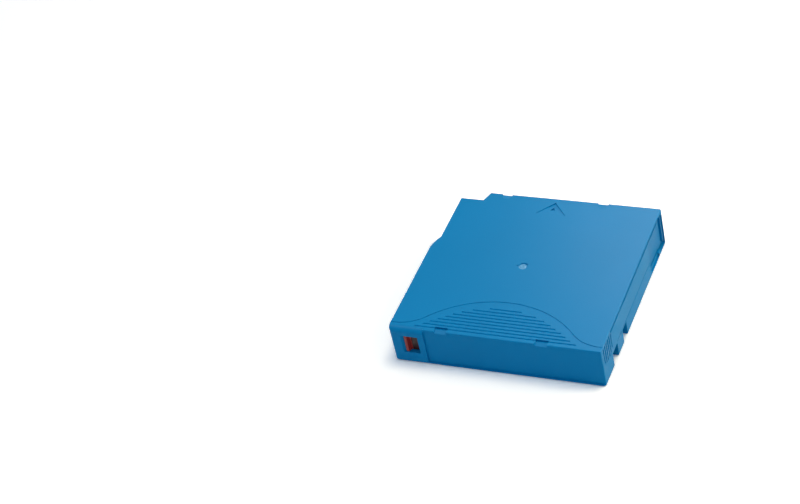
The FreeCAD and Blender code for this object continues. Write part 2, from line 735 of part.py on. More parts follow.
def edge_pockets(body):
    """Slots with a ramp in the rear top edge, and sloped cuts in the front edge opposite."""
    top = s.case_height
    face = -s.half_depth + s.label_depth
    slot = -s.pocket_front - s.pocket_depth * 1.3
    rear = [(-s.pocket_front, top + clear), (-s.pocket_front, top - s.pocket_depth),
            (slot, top - s.pocket_depth), (slot - 0.2 * s.pocket_depth, top - 0.3 * s.pocket_depth),
            (face - clear, top - 1.8 * s.pocket_depth), (face - clear, top + clear)]
    half = s.pocket_width / 2
    end = s.front_reach + clear
    front = [(s.front_slant - half, dim(0)), (half - s.front_slant, dim(0)), (half, end), (-half, end)]
    for number, left in enumerate((-s.pocket_left, s.pocket_right), 1):
        prism(body, "Pocket", f"RearPocket{number}", "YZ_Plane", left, s.pocket_width, rear)
        sloped_cut(body, f"FrontPocket{number}", left + half, s.half_depth - s.front_reach, top,
                   s.front_pocket, s.front_reach, front)


def side_grips(body):
    """Upright grooves in a leaf-shaped field low down on both sides, near the rear."""
    middle = s.rib_first - s.rib_pitch * (s.rib_count - 1) / 2
    for side, name in ((1, "Right"), (-1, "Left")):
        start = side * s.half_width - (s.rib_depth if side > 0 else clear)
        loops = []
        for number in range(int(s.rib_count.number)):
            place = s.rib_first - number * s.rib_pitch
            away = (place - middle) / s.rib_pitch
            low = s.rib_low + 0.3 * away * away
            half = s.rib_width / 2
            loops.append(rectangle(-place - half, low, -place + half, s.rib_top))
        prism(body, "Pocket", f"SideRibs{name}", "YZ_Plane", start, s.rib_depth + clear, *loops)


def make_top_shell():
    body = new_body("top_shell")
    block_case(body, s.parting_height, s.case_height)
    label_recess(body, s.parting_height - clear, s.case_height + clear)
    soft_rear_edge(body)
    round_edges(body, "TopEdges", s.edge_round,
                lambda edge: level_at(edge, s.case_height, lambda at: True))
    prism(body, "Pocket", "Inside", "XY_Plane", s.parting_height - clear,
          inner_top - s.parting_height + clear,
          case_outline(s.wall, s.wall + s.label_depth))
    tab_window(body, s.parting_height - clear, s.window_high)
    door_opening(body, s.parting_height - clear, s.case_height - s.lip_height)
    door_channel(body, -s.spring_anchor, s.parting_height - clear, inner_top)
    prism(body, "Pocket", "SideGroove", "YZ_Plane", s.half_width - s.side_groove_cut,
          s.side_groove_cut + clear,
          rectangle(-s.side_groove_rear, s.side_groove_low, s.side_groove_front, s.side_groove_high))
    side_grips(body)
    bell_line(body)
    finger_grooves(body)
    arrow(body)
    gate_mark(body)
    edge_pockets(body)
    sunk = inner_top + s.overlap
    prism(body, "Pad", "BrakePost", "XY_Plane", s.post_foot, sunk - s.post_foot,
          rectangle(s.reel_x - s.post_half, s.reel_y - s.post_half,
                    s.reel_x + s.post_half, s.reel_y + s.post_half))
    ring = s.coil_radius + s.coil_wire / 2 + s.ring_gap
    prism(body, "Pad", "SpringRing", "XY_Plane", inner_top - s.ring_depth, s.ring_depth + s.overlap,
          Circle(s.reel_x, s.reel_y, ring + s.ring_wall), Circle(s.reel_x, s.reel_y, ring))
    prism(body, "Pad", "ScrewBosses", "XY_Plane", s.parting_height, sunk - s.parting_height,
          *[Circle(x, y, s.boss_radius) for x, y in screw_places])
    prism(body, "Pocket", "ScrewHoles", "XY_Plane", s.parting_height,
          s.head_seat + s.screw_length - s.parting_height + s.overlap,
          *[Circle(x, y, s.screw_radius + s.clip_gap) for x, y in screw_places])
    tab_guide(body, s.ledge_high, sunk, s.ledge_high - s.fence_rise)
    door_rail(body, inner_top - s.rail_height, sunk)
    anchor_inner = spring_line - s.spring_radius - s.spring_wire
    prism(body, "Pad", "SpringSeat", "XY_Plane", s.spring_height - 2 * s.spring_radius,
          sunk - s.spring_height + 2 * s.spring_radius,
          rectangle(anchor_inner, -s.spring_anchor - s.spring_seat,
                    side_inner + s.overlap, -s.spring_anchor))
    prism(body, "Pad", "SpringStub", "XZ_Plane", -s.spring_anchor - s.overlap,
          s.stub_length + s.overlap, Circle(spring_line, s.spring_height, s.spring_stub))
    lip = s.case_height - s.lip_height
    pin_seat(body, inner_top, s.pin_seat, lip - clear, inner_top + s.pin_seat - lip + clear)
    wire_post(body, inner_top - 2 * s.wire_level - s.wire_thick, sunk)
    return body


def picker_notches(body):
    """Notches for a library's gripper through wall and floor, each closed in by thin walls."""
    notches = (("Rear", s.notch_rear, s.notch_length, s.notch_depth),
               ("Second", s.second_rear, s.second_length, s.second_depth))
    for side, hand in ((1, "Right"), (-1, "Left")):
        face = side * s.half_width
        for name, rear, length, depth in notches:
            inner = face - side * (depth + s.notch_wall)
            wall_in = face - side * s.wall / 2
            prism(body, "Pad", f"{name}Liner{hand}", "XY_Plane", dim(0), s.parting_height,
                  rectangle(inner if side > 0 else wall_in, -rear - s.notch_wall,
                            wall_in if side > 0 else inner, length - rear + s.notch_wall))
        for name, rear, length, depth in notches:
            inner = face - side * depth
            outer = face + side * clear
            prism(body, "Pocket", f"{name}Notch{hand}", "XY_Plane", -dim(clear),
                  s.notch_height + clear,
                  rectangle(inner if side > 0 else outer, -rear,
                            outer if side > 0 else inner, length - rear))


def locators(body):
    """Round hole and slot that place the cartridge in the drive, each with a low rim."""
    slot_left = s.slot_side - s.slot_half
    slot_right = s.slot_side + s.slot_half

    def slot(radius):
        low = s.locator_front - radius
        high = s.locator_front + radius
        return [(slot_left, low), (slot_right, low, radius, -1),
                (slot_right + radius, s.locator_front, radius, -1), (slot_right, high),
                (slot_left, high, radius, -1), (slot_left - radius, s.locator_front, radius, -1)]

    prism(body, "Pad", "LocatorRims", "XY_Plane", dim(0), s.floor_plate + s.locator_rim,
          Circle(-s.locator_side, s.locator_front, s.locator_radius + s.locator_rim),
          slot(s.locator_radius + s.locator_rim))
    prism(body, "Pocket", "LocatorHoles", "XY_Plane", -dim(clear),
          s.floor_plate + s.locator_rim + 2 * clear,
          Circle(-s.locator_side, s.locator_front, s.locator_radius), slot(s.locator_radius))


def make_bottom_shell():
    body = new_body("bottom_shell")
    block_case(body, dim(0), s.parting_height)
    label_recess(body, s.label_foot, s.parting_height + clear)
    round_edges(body, "FootEdges", s.foot_round,
                lambda edge: level_at(edge, 0, lambda at: True))
    prism(body, "Pocket", "Inside", "XY_Plane", s.floor_plate,
          s.parting_height - s.floor_plate + clear,
          case_outline(s.wall, s.wall + s.label_depth))
    tab_window(body, s.window_low, s.parting_height + clear)
    door_opening(body, s.sill_height, s.parting_height + clear)
    door_channel(body, s.door_rear - s.door_travel - s.overlap, s.floor_plate,
                 s.parting_height + clear)
    prism(body, "Pocket", "CornerDrop", "XY_Plane", s.corner_floor, s.sill_height,
          rectangle(channel_face - s.door_gap, s.corner_rear,
                    s.half_width + clear, s.half_depth - s.corner_wall))
    prism(body, "Pad", "WindowRim", "XY_Plane", dim(0), s.floor_plate + s.window_rim_height,
          Circle(s.reel_x, s.reel_y, s.window_radius + s.window_rim))
    prism(body, "Pocket", "HubWindow", "XY_Plane", -dim(clear),
          s.floor_plate + s.window_rim_height + 2 * clear,
          Circle(s.reel_x, s.reel_y, s.window_radius))
    picker_notches(body)
    locators(body)
    prism(body, "Pad", "ScrewBosses", "XY_Plane", dim(0), s.parting_height,
          *[Circle(x, y, s.boss_radius + s.overlap) for x, y in screw_places])
    prism(body, "Pocket", "ScrewHoles", "XY_Plane", -dim(clear), s.parting_height + 2 * clear,
          *[Circle(x, y, s.screw_hole) for x, y in screw_places])
    prism(body, "Pocket", "ScrewSeats", "XY_Plane", -dim(clear), s.head_seat + clear,
          *[Circle(x, y, s.head_bore) for x, y in screw_places])
    sunk = s.floor_plate - s.overlap
    tab_guide(body, s.ledge_low, sunk, s.ledge_low + s.fence_rise)
    door_rail(body, sunk, s.floor_plate + s.rail_height)
    for number, place in enumerate((s.memory_left + s.gusset_inset,
                                    s.memory_left + s.memory_length - s.gusset_inset
                                    - s.gusset_thick), 1):
        prism(body, "Pad", f"MemoryGusset{number}", "YZ_Plane", place, s.gusset_thick,
              [(rear_inner - s.overlap, sunk), (rear_inner + s.gusset_leg + s.overlap, sunk),
               (rear_inner - s.overlap, s.floor_plate + s.gusset_leg + s.overlap)])
    pin_seat(body, s.floor_plate - s.pin_seat, s.parting_height, s.floor_plate - s.pin_seat,
             s.parting_height)
    wire_post(body, sunk, s.floor_plate + 2 * s.wire_level + s.wire_thick)
    prism(body, "Pocket", "SillRecess", "YZ_Plane", s.half_width - s.sill_cut_depth,
          s.sill_cut_depth + clear,
          [(s.sill_cut_rear, s.sill_cut_low), (s.sill_cut_front, s.sill_cut_low),
           (s.sill_cut_front - s.sill_cut_lean, s.sill_height + clear),
           (s.sill_cut_rear, s.sill_height + clear)])
    prism(body, "Pocket", "RearLift", "XY_Plane", -dim(clear), s.foot_lift + clear,
          rectangle(-s.half_width - clear, -s.half_depth - clear,
                    -s.foot_lift_side, -s.half_depth + s.foot_lift_depth))
    for side, name, end in ((1, "Right", s.opening_rear), (-1, "Left", s.step_start)):
        start = side * s.half_width - (s.seam_reveal if side > 0 else clear)
        prism(body, "Pocket", f"Seam{name}", "YZ_Plane", start, s.seam_reveal + clear,
              rectangle(-s.seam_rear, s.parting_height - s.reveal_height, end,
                        s.parting_height + clear))
    return body


# ---- what moves and what is held in the case ----

def make_door():
    """Flat panel with a finger edge at the front and a pin for its spring at the rear."""
    body = new_body("door")
    low = s.floor_plate + s.door_end_gap
    high = inner_top - s.door_end_gap
    prism(body, "Pad", "Panel", "XY_Plane", low, high - low,
          rectangle(door_inner, s.door_rear, door_outer, s.door_front))
    prism(body, "Pad", "FingerEdge", "XY_Plane", s.sill_height + s.door_gap,
          s.case_height - s.lip_height - s.sill_height - 2 * s.door_gap,
          rectangle(door_outer - s.overlap, s.door_front - s.tab_height,
                    door_outer + s.tab_height, s.door_front))
    prism(body, "Pad", "SpringBlock", "XY_Plane", s.spring_height - 2 * s.spring_radius,
          4 * s.spring_radius,
          rectangle(spring_line - s.spring_radius - s.spring_wire, s.door_rear,
                    door_inner + s.overlap, s.door_rear + s.spring_seat))
    prism(body, "Pad", "SpringStub", "XZ_Plane", s.door_rear - s.stub_length,
          s.stub_length + s.overlap, Circle(spring_line, s.spring_height, s.spring_stub))
    return body


def coil(label, x, y, z, tilt, radius, wire, turns, length):
    """Open coil spring along its own Z axis, stood or laid by its placement."""
    body = new_body(label, x, y, z)
    body.Placement = Placement(body.Placement.Base, Rotation(Vector(1, 0, 0), tilt))
    sketch = new_sketch(body, label + "Section", "XZ_Plane", 0)
    draw(sketch, Circle(radius, wire / 2, wire / 2))
    spiral = body.newObject("PartDesign::AdditiveHelix", label + "Helix")
    spiral.Profile = sketch
    spiral.ReferenceAxis = (origin_of(body, "Z_Axis"), [""])
    spiral.Mode = "height-turns-angle"
    bind(spiral, "Height", length - wire)
    bind(spiral, "Turns", turns)
    return body


def make_springs():
    low = brake_high + s.coil_gap
    door_end = -s.spring_anchor
    return [
        coil("brake_spring", s.reel_x, s.reel_y, low, 0, s.coil_radius, s.coil_wire,
             s.coil_turns, inner_top - s.coil_gap - low),
        coil("door_spring", spring_line, door_end + s.coil_gap, s.spring_height, -90,
             s.spring_radius, s.spring_wire, s.spring_turns,
             s.door_rear - door_end - 2 * s.coil_gap),
    ]


def make_tab():
    """Write-protect tab: raised finger part in the window, slide behind the rear wall."""
    body = new_body("write_protect_tab")
    left = -s.window_left + s.tab_gap
    right = left + s.tab_width
    face = -s.half_depth + s.tab_proud
    slide = rear_inner + s.tab_gap
    low = s.window_low + s.tab_gap
    high = s.window_high - s.tab_gap
    prism(body, "Pad", "FingerPart", "XY_Plane", low, high - low,
          [(left, face), (left + s.tab_ridge, face),
           (left + s.tab_ridge + s.tab_step / 2, face + s.tab_step),
           (right, face + s.tab_step), (right, slide + s.overlap), (left, slide + s.overlap)])
    prism(body, "Pad", "Slide", "XY_Plane", s.ledge_low + s.tab_gap,
          s.ledge_high - s.ledge_low - 2 * s.tab_gap,
          rectangle(left - s.tab_carrier_side, slide, right, slide + s.tab_carrier))
    return body


def teeth(body, name, inner, outer, foot, tip, width, count, turn=0.0):
    """Ring of face teeth, each a straight wedge that runs outwards. The first stands at turn."""
    half = width / 2
    crest = width / 10
    base = foot + (s.overlap / 4) * (1 if tip.number < foot.number else -1)
    tooth = prism(body, "Pad", name, "YZ_Plane", inner, outer - inner,
                  [(-half, foot), (-half, base), (half, base), (half, foot), (crest, tip),
                   (-crest, tip)])
    sketch = tooth.Profile[0]
    across = inner * math.sin(turn)
    along = inner * math.cos(turn)
    sketch.AttachmentOffset = Placement(Vector(across.number, 0, along.number),
                                        Rotation(Vector(0, 1, 0), math.degrees(turn)))
    bind(sketch, ".AttachmentOffset.Base.x", across)
    bind(sketch, ".AttachmentOffset.Base.z", along)
    return ring_of(body, name + "Ring", tooth, count)


def make_reel():
    """Hub, lower flange, drive teeth below and brake teeth inside, moulded in one piece."""
    body = new_body("reel_hub", s.reel_x, s.reel_y)
    flange_top = s.reel_base + s.flange_thick
    turned(body, "Revolution", "HubAndFlange",
           [(dim(0), s.hub_foot), (s.drive_outer, s.hub_foot), (s.drive_outer, s.reel_base),
            (s.flange_radius, s.reel_base + s.flange_taper),
            (s.flange_radius, flange_top - s.flange_taper), (s.hub_radius, flange_top),
            (s.hub_radius, hub_top), (hub_inner, hub_top), (hub_inner, hub_floor_top),
            (dim(0), hub_floor_top)])
    prism(body, "Pad", "BrakePlinth", "XY_Plane", hub_floor_top - s.overlap,
          s.brake_plinth + s.overlap,
          Circle(dim(0), dim(0), s.brake_outer), Circle(dim(0), dim(0), s.brake_inner))
    for number in range(3):
        turn = math.radians(120 * number + 90)
        prism(body, "Pocket", f"LegHole{number + 1}", "XY_Plane", s.hub_foot - clear,
              s.hub_floor + 2 * clear,
              Circle(s.leg_place * math.cos(turn), s.leg_place * math.sin(turn), s.leg_hole))
    teeth(body, "DriveTooth", s.drive_inner, s.drive_outer, s.hub_foot,
          s.hub_foot - s.drive_height, s.drive_width, s.drive_teeth)
    teeth(body, "BrakeTooth", s.brake_inner, s.brake_outer, hub_teeth_foot,
          hub_teeth_foot + s.brake_tooth, s.brake_width, s.brake_teeth)
    return body


def make_upper_flange():
    body = new_body("reel_upper_flange", s.reel_x, s.reel_y)
    top = hub_top + s.flange_thick
    outer = hub_inner - s.collar_gap
    inner = outer - s.collar_wall
    turned(body, "Revolution", "FlangeAndCollar",
           [(inner, hub_top - s.collar_depth), (outer, hub_top - s.collar_depth), (outer, hub_top),
            (s.hub_radius, hub_top), (s.flange_radius, hub_top + s.flange_taper),
            (s.flange_radius, top - s.flange_taper), (s.hub_radius, top), (inner, top)])
    return body


def make_clutch_plate():
    body = new_body("clutch_plate", s.reel_x, s.reel_y)
    low = s.hub_foot - s.plate_thick
    prism(body, "Pad", "Ring", "XY_Plane", low, s.plate_thick,
          Circle(dim(0), dim(0), s.plate_outer), Circle(dim(0), dim(0), s.plate_inner))
    hole = prism(body, "Pocket", "LegHole", "XY_Plane", low - clear, s.plate_thick + 2 * clear,
                 Circle(dim(0), s.leg_place, s.plate_hole))
    ring_of(body, "LegHoles", hole, 3)
    return body


def make_tape_pack():
    body = new_body("tape_pack", s.reel_x, s.reel_y)
    prism(body, "Pad", "Winding", "XY_Plane", tape_low, s.tape_width,
          Circle(dim(0), dim(0), s.pack_radius), Circle(dim(0), dim(0), s.hub_radius))
    return body


def make_brake_button():
    """Disc with face teeth and a thrust nub below, and a square sleeve that rides on the post."""
    body = new_body("brake_button", s.reel_x, s.reel_y)
    nub = spider_high + s.spider_gap
    top = brake_high + s.sleeve_height
    turned(body, "Revolution", "Disc",
           [(dim(0), nub), (s.dome_radius * 0.6, nub), (s.dome_radius, nub + s.dome_radius * 0.3),
            (s.dome_radius, brake_low), (s.brake_inner, brake_low), (s.brake_inner, brake_foot),
            (s.brake_outer, brake_foot), (s.brake_outer, brake_low), (s.brake_radius, brake_low),
            (s.brake_radius, brake_high), (s.sleeve_radius, brake_high), (s.sleeve_radius, top),
            (dim(0), top)])
    half = s.post_half + s.post_gap
    prism(body, "Pocket", "SquareBore", "XY_Plane", brake_high, s.sleeve_height + clear,
          rectangle(-half, -half, half, half))
    teeth(body, "BrakeTooth", s.brake_inner, s.brake_outer, brake_foot, brake_tip,
          s.brake_width, s.brake_teeth, math.pi / s.brake_teeth.number)
    return body


def make_release():
    """Three-legged spider whose legs reach down through the hub floor."""
    body = new_body("brake_release", s.reel_x, s.reel_y)
    prism(body, "Pad", "Middle", "XY_Plane", spider_low, s.spider_thick,
          Circle(dim(0), dim(0), s.spider_radius))
    arm = prism(body, "Pad", "Arm", "XY_Plane", spider_low, s.spider_thick,
                rectangle(-s.arm_width / 2, dim(0), s.arm_width / 2, s.leg_place))
    ring_of(body, "Arms", arm, 3)
    leg = prism(body, "Pad", "Leg", "XY_Plane", s.leg_tip, spider_high - s.leg_tip,
                Circle(dim(0), s.leg_place, s.leg_radius))
    ring_of(body, "Legs", leg, 3)
    return body


def make_pin():
    """Dumb-bell pin: end flanges in the seats, grooves for the drive, core for the leader."""
    low = s.floor_plate - s.pin_seat + s.pin_end_gap
    high = inner_top + s.pin_seat - s.pin_end_gap
    body = new_body("leader_pin", s.pin_x, s.pin_y)
    flange = s.pin_flange_thick
    neck = flange + s.pin_neck_length
    collar = neck + s.pin_collar_thick
    steps = [(s.pin_flange, flange), (s.pin_neck, neck), (s.pin_collar, collar)]
    lower = []
    last = dim(0)
    for radius, reach in steps:
        lower += [(radius, low + last), (radius, low + reach)]
        last = reach
    upper = [(radius, high - (height - low)) for radius, height in reversed(lower)]
    core = [(s.pin_core, low + collar), (s.pin_core, high - collar)]
    turned(body, "Revolution", "Turning", [(dim(0), low)] + lower + core + upper + [(dim(0), high)])
    return body


def leader_run():
    """Where the leader leaves the pack, its heading, and its length to the clip."""
    away_x = s.pin_x - s.reel_x
    away_y = s.pin_y - s.reel_y
    away = root(away_x * away_x + away_y * away_y)
    radius = s.pack_radius + s.leader_gap
    run = root(away * away - radius * radius)
    tangent = math.atan2(away_y.number, away_x.number) + math.acos(radius.number / away.number)
    start = (s.reel_x + radius * math.cos(tangent), s.reel_y + radius * math.sin(tangent))
    return start, tangent - math.pi / 2, run


def make_clip():
    """C clip round the pin's core, open towards the leader."""
    start, heading, run = leader_run()
    inner = s.pin_core + s.clip_gap
    outer = inner + s.clip_wall
    middle = tape_low + s.tape_width / 2
    body = new_body("leader_pin_clip", s.pin_x, s.pin_y, middle - s.clip_length / 2)
    prism(body, "Pad", "Tube", "XY_Plane", dim(0), s.clip_length,
          Circle(dim(0), dim(0), outer), Circle(dim(0), dim(0), inner))
    prism(body, "Pocket", "Mouth", "XY_Plane", -dim(clear), s.clip_length + 2 * clear,
          rectangle(-outer - clear, -s.clip_mouth, dim(0), s.clip_mouth))
    body.Placement = Placement(body.Placement.Base, Rotation(Vector(0, 0, 1), math.degrees(heading)))
    return body


def make_leader():
    """Free stretch of the leader, from the pack to the core of the pin."""
    start, heading, run = leader_run()
    leader = doc.addObject("Part::Box", "leader_tape")
    leader.Label = "leader_tape"
    bind(leader, "Length", run - s.pin_core)
    bind(leader, "Width", s.leader_thick)
    bind(leader, "Height", s.tape_width)
    leader.Placement = Placement(Vector(start[0].number, start[1].number, tape_low.number),
                                 Rotation(Vector(0, 0, 1), math.degrees(heading)))
    bind(leader, ".Placement.Base.z", tape_low)
    return leader


def make_pin_spring(label, low):
    """Wire spring: an eye on its post and an arm that bears on the pin's end flange."""
    body = new_body(label, s.wire_post_x, s.wire_post_y, low)
    inner = s.wire_post + s.clip_gap
    outer = inner + s.wire_width
    away_x = s.pin_x - s.wire_post_x
    away_y = s.pin_y - s.wire_post_y
    away = root(away_x * away_x + away_y * away_y)
    reach = away - s.pin_flange - s.wire_reach
    prism(body, "Pad", "Eye", "XY_Plane", dim(0), s.wire_thick,
          Circle(dim(0), dim(0), outer), Circle(dim(0), dim(0), inner))
    prism(body, "Pad", "Arm", "XY_Plane", dim(0), s.wire_thick,
          rectangle(inner + s.clip_gap, -s.wire_width / 2, reach, s.wire_width / 2))
    turn = math.degrees(math.atan2(away_y.number, away_x.number))
    body.Placement = Placement(body.Placement.Base, Rotation(Vector(0, 0, 1), turn))
    return body


def make_pin_springs():
    return [make_pin_spring("pin_spring_lower", s.floor_plate + s.wire_level),
            make_pin_spring("pin_spring_upper", inner_top - s.wire_level - s.wire_thick)]


def make_memory():
    """Contactless memory, laid at 45 degrees on two gussets in the rear right corner."""
    board = doc.addObject("Part::Box", "memory_board")
    board.Label = "memory_board"
    bind(board, "Length", s.memory_length)
    bind(board, "Width", s.memory_width)
    bind(board, "Height", s.memory_thick)
    slope = Rotation(Vector(1, 0, 0), -45)
    spare = (s.gusset_leg.number * math.sqrt(2) - s.memory_width.number) / 2
    corner = Vector(s.memory_left.number, rear_inner.number,
                    (s.floor_plate + s.gusset_leg).number)
    board.Placement = Placement(corner + slope.multVec(Vector(0, spare, 0)), slope)
    bind(board, ".Placement.Base.x", s.memory_left)
    chip = doc.addObject("Part::Box", "memory_chip")
    chip.Label = "memory_chip"
    bind(chip, "Length", s.chip_side)
    bind(chip, "Width", s.chip_side)
    bind(chip, "Height", s.chip_thick)
    seat = Vector((s.memory_length.number - s.chip_side.number) / 2,
                  (s.memory_width.number - s.chip_side.number) / 2, s.memory_thick.number)
    chip.Placement = Placement(board.Placement.Base + slope.multVec(seat), slope)
    return [board, chip]


def make_screw(number, x, y):
    """Case screw driven up from below, with a cross in its head."""
    body = new_body(f"case_screw_{number}", x, y)
    seat = s.head_seat
    turned(body, "Revolution", "Turning",
           [(dim(0), seat - s.head_height), (s.head_radius * 0.75, seat - s.head_height),
            (s.head_radius, seat - s.head_height * 0.6), (s.head_radius, seat),
            (s.screw_radius, seat), (s.screw_radius, seat + s.screw_length * 0.9),
            (s.screw_radius * 0.5, seat + s.screw_length), (dim(0), seat + s.screw_length)])
    half = s.cross_width / 2
    long = s.head_radius * 0.6
    prism(body, "Pocket", "Cross", "XY_Plane", seat - s.head_height - clear, s.cross_depth + clear,
          [(-half, -long), (half, -long), (half, -half), (long, -half), (long, half), (half, half),
           (half, long), (-half, long), (-half, half), (-long, half), (-long, -half),
           (-half, -half)])
    return body


def make_all():
    pieces = [make_top_shell(), make_bottom_shell(), make_door(), make_tab()]
    pieces += make_springs()
    pieces += [make_reel(), make_upper_flange(), make_clutch_plate(), make_tape_pack()]
    pieces += [make_brake_button(), make_release(), make_pin(), make_clip(), make_leader()]
    pieces += make_pin_springs()
    pieces += make_memory()
    pieces += [make_screw(number, x, y) for number, (x, y) in enumerate(screw_places, 1)]
    return pieces


def check(pieces):
    """Stops on any failed object or bad solid before anything is written."""
    failed = [item.Name for item in doc.Objects
              if "Invalid" in item.State or "Error" in item.State]
    failed += [piece.Label for piece in pieces
               if piece.Shape.isNull() or not piece.Shape.isValid() or not piece.Shape.Solids]
    if failed:
        raise RuntimeError("failed: " + ", ".join(failed))


def export(pieces):
    os.makedirs("parts", exist_ok=True)
    for piece in pieces:
        piece.Shape.exportStep(f"parts/{piece.Label}.step")
        print(f"{piece.Label:20} {len(piece.Shape.Solids)} solid {piece.Shape.Volume:10.1f} mm3")


all_pieces = make_all()
doc.recompute()
check(all_pieces)
export(all_pieces)
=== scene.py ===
import bpy
import bmesh
from math import radians
from mathutils import Matrix, Vector


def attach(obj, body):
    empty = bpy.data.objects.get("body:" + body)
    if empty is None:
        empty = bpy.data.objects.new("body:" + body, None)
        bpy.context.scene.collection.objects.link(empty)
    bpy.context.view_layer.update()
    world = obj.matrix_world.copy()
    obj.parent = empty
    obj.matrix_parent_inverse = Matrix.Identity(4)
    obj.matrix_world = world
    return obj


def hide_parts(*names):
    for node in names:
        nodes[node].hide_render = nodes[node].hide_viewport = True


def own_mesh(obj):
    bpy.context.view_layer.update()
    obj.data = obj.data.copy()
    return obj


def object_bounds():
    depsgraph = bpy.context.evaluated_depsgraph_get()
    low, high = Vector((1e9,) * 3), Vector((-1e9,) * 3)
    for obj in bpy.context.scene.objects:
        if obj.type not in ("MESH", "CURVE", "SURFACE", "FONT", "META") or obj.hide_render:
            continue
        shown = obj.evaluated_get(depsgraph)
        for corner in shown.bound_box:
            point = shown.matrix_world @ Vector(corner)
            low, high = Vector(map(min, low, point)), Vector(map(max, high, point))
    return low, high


# A single-reel data tape cartridge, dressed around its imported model.

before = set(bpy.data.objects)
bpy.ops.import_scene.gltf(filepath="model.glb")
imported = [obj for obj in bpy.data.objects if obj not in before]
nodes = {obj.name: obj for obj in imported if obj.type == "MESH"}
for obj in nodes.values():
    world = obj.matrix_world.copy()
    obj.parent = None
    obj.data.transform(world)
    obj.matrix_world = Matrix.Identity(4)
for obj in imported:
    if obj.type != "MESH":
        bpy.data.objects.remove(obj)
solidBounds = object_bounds()
scene = bpy.context.scene
scene.view_settings.view_transform = "Standard"
print("frame loaded:", len(nodes), "nodes")


# materials

def newMaterial(name):
    mat = bpy.data.materials.new(name)
    mat.use_nodes = True
    tree = mat.node_tree
    return mat, tree, tree.nodes["Principled BSDF"]


def addNode(tree, kind, settings=None):
    node = tree.nodes.new(kind)
    for key, value in (settings or {}).items():
        setattr(node, key, value)
    return node


def place(tree, scale=(1, 1, 1), location=(0, 0, 0)):
    # object coordinates in metres, stretched and shifted
    coord = addNode(tree, "ShaderNodeTexCoord")
    mapping = addNode(tree, "ShaderNodeMapping")
    mapping.inputs["Scale"].default_value = scale
    mapping.inputs["Location"].default_value = location
    tree.links.new(coord.outputs["Object"], mapping.inputs["Vector"])
    return mapping.outputs["Vector"]


def noise(tree, vector, scale, detail, rough):
    node = addNode(tree, "ShaderNodeTexNoise")
    node.inputs["Scale"].default_value = scale
    node.inputs["Detail"].default_value = detail
    node.inputs["Roughness"].default_value = rough
    tree.links.new(vector, node.inputs["Vector"])
    return node.outputs["Fac"]


def tint(tree, shader, fac, look):
    # the deep colour up to the first stop, the light one from the second
    node = addNode(tree, "ShaderNodeValToRGB")
    for end, stop, colour in zip(node.color_ramp.elements, look["stops"], ("deep", "light")):
        end.position, end.color = stop, (*look[colour], 1)
    tree.links.new(fac, node.inputs["Fac"])
    tree.links.new(node.outputs["Color"], shader.inputs["Base Color"])


def gloss(tree, shader, fac, look):
    node = addNode(tree, "ShaderNodeMapRange")
    node.inputs["To Min"].default_value, node.inputs["To Max"].default_value = look["roughness"]
    tree.links.new(fac, node.inputs["Value"])
    tree.links.new(node.outputs["Result"], shader.inputs["Roughness"])


def bump(tree, shader, fac, height):
    node = addNode(tree, "ShaderNodeBump")
    node.inputs["Distance"].default_value = height
    tree.links.new(fac, node.inputs["Height"])
    tree.links.new(node.outputs["Normal"], shader.inputs["Normal"])


def mouldedPlastic(name, look):
    # satin plastic: a fine spark-eroded grain, and slow drifts of colour and gloss
    mat, tree, shader = newMaterial(name)
    vector = place(tree)
    tint(tree, shader, noise(tree, vector, look["driftScale"], *look["drift"]), look)
    gloss(tree, shader, noise(tree, vector, look["glossScale"], *look["gloss"]), look)
    grain = noise(tree, vector, look["grainScale"], *look["grain"])
    bump(tree, shader, grain, look["grainHeight"])
    shader.inputs["IOR"].default_value = look["ior"]
    shader.inputs["Specular IOR Level"].default_value = look["specular"]
    return mat


def gatePaintedHighlight(mat, look):
    # a painted highlight: a paler spot round the mould's gate, standing in for light caught by
    # the gate boss
    tree = mat.node_tree
    shader = tree.nodes["Principled BSDF"]
    plain = shader.inputs["Base Color"].links[0].from_socket
    centre = [-amount for amount in look["at"]]
    reach = addNode(tree, "ShaderNodeVectorMath", {"operation": "LENGTH"})
    fade = addNode(tree, "ShaderNodeMapRange", {"interpolation_type": "SMOOTHSTEP"})
    fade.inputs["From Min"].default_value = look["radius"]
    fade.inputs["From Max"].default_value = look["core"]
    fade.inputs["To Max"].default_value = look["strength"]
    highlightMix = addNode(tree, "ShaderNodeMix", {"data_type": "RGBA"})
    highlightMix.inputs["B"].default_value = (*look["colour"], 1)
    tree.links.new(place(tree, location=centre), reach.inputs[0])
    tree.links.new(reach.outputs["Value"], fade.inputs["Value"])
    tree.links.new(fade.outputs["Result"], highlightMix.inputs["Factor"])
    tree.links.new(plain, highlightMix.inputs["A"])
    tree.links.new(highlightMix.outputs["Result"], shader.inputs["Base Color"])
    return mat


# drift, gloss and grain give the detail and roughness of their patterns
plasticLook = {"stops": (0.3, 0.7), "drift": (3, 0.5), "gloss": (4, 0.6), "grain": (4, 0.65),
               "ior": 1.46, "specular": 0.5}
caseLook = dict(plasticLook, deep=(0.0, 0.203, 0.440), light=(0.0, 0.214, 0.464),
                driftScale=18, glossScale=60, roughness=(0.40, 0.48), grainScale=3200,
                grainHeight=0.000012, specular=0.07)
# the gate's painted highlight: a paler blue spot, full at the core and fading out to the radius
gateHighlightLook = {"at": (-0.0019, 0.0003, 0.0212), "radius": 0.0022, "core": 0.00154,
             "strength": 0.8, "colour": (0.16, 0.42, 0.64)}
doorLook = dict(caseLook, deep=(0.0, 0.18, 0.41), light=(0.0, 0.19, 0.43))
tabLook = dict(plasticLook, deep=(0.24, 0.012, 0.008), light=(0.29, 0.018, 0.011),
               driftScale=60, glossScale=200, roughness=(0.36, 0.46), grainScale=3200,
               grainHeight=0.000010)
# the tab's red darkened almost to black: painted shade for the inside of the window
tabShadedLook = dict(tabLook, deep=(0.020, 0.0018, 0.0016), light=(0.028, 0.003, 0.0024))
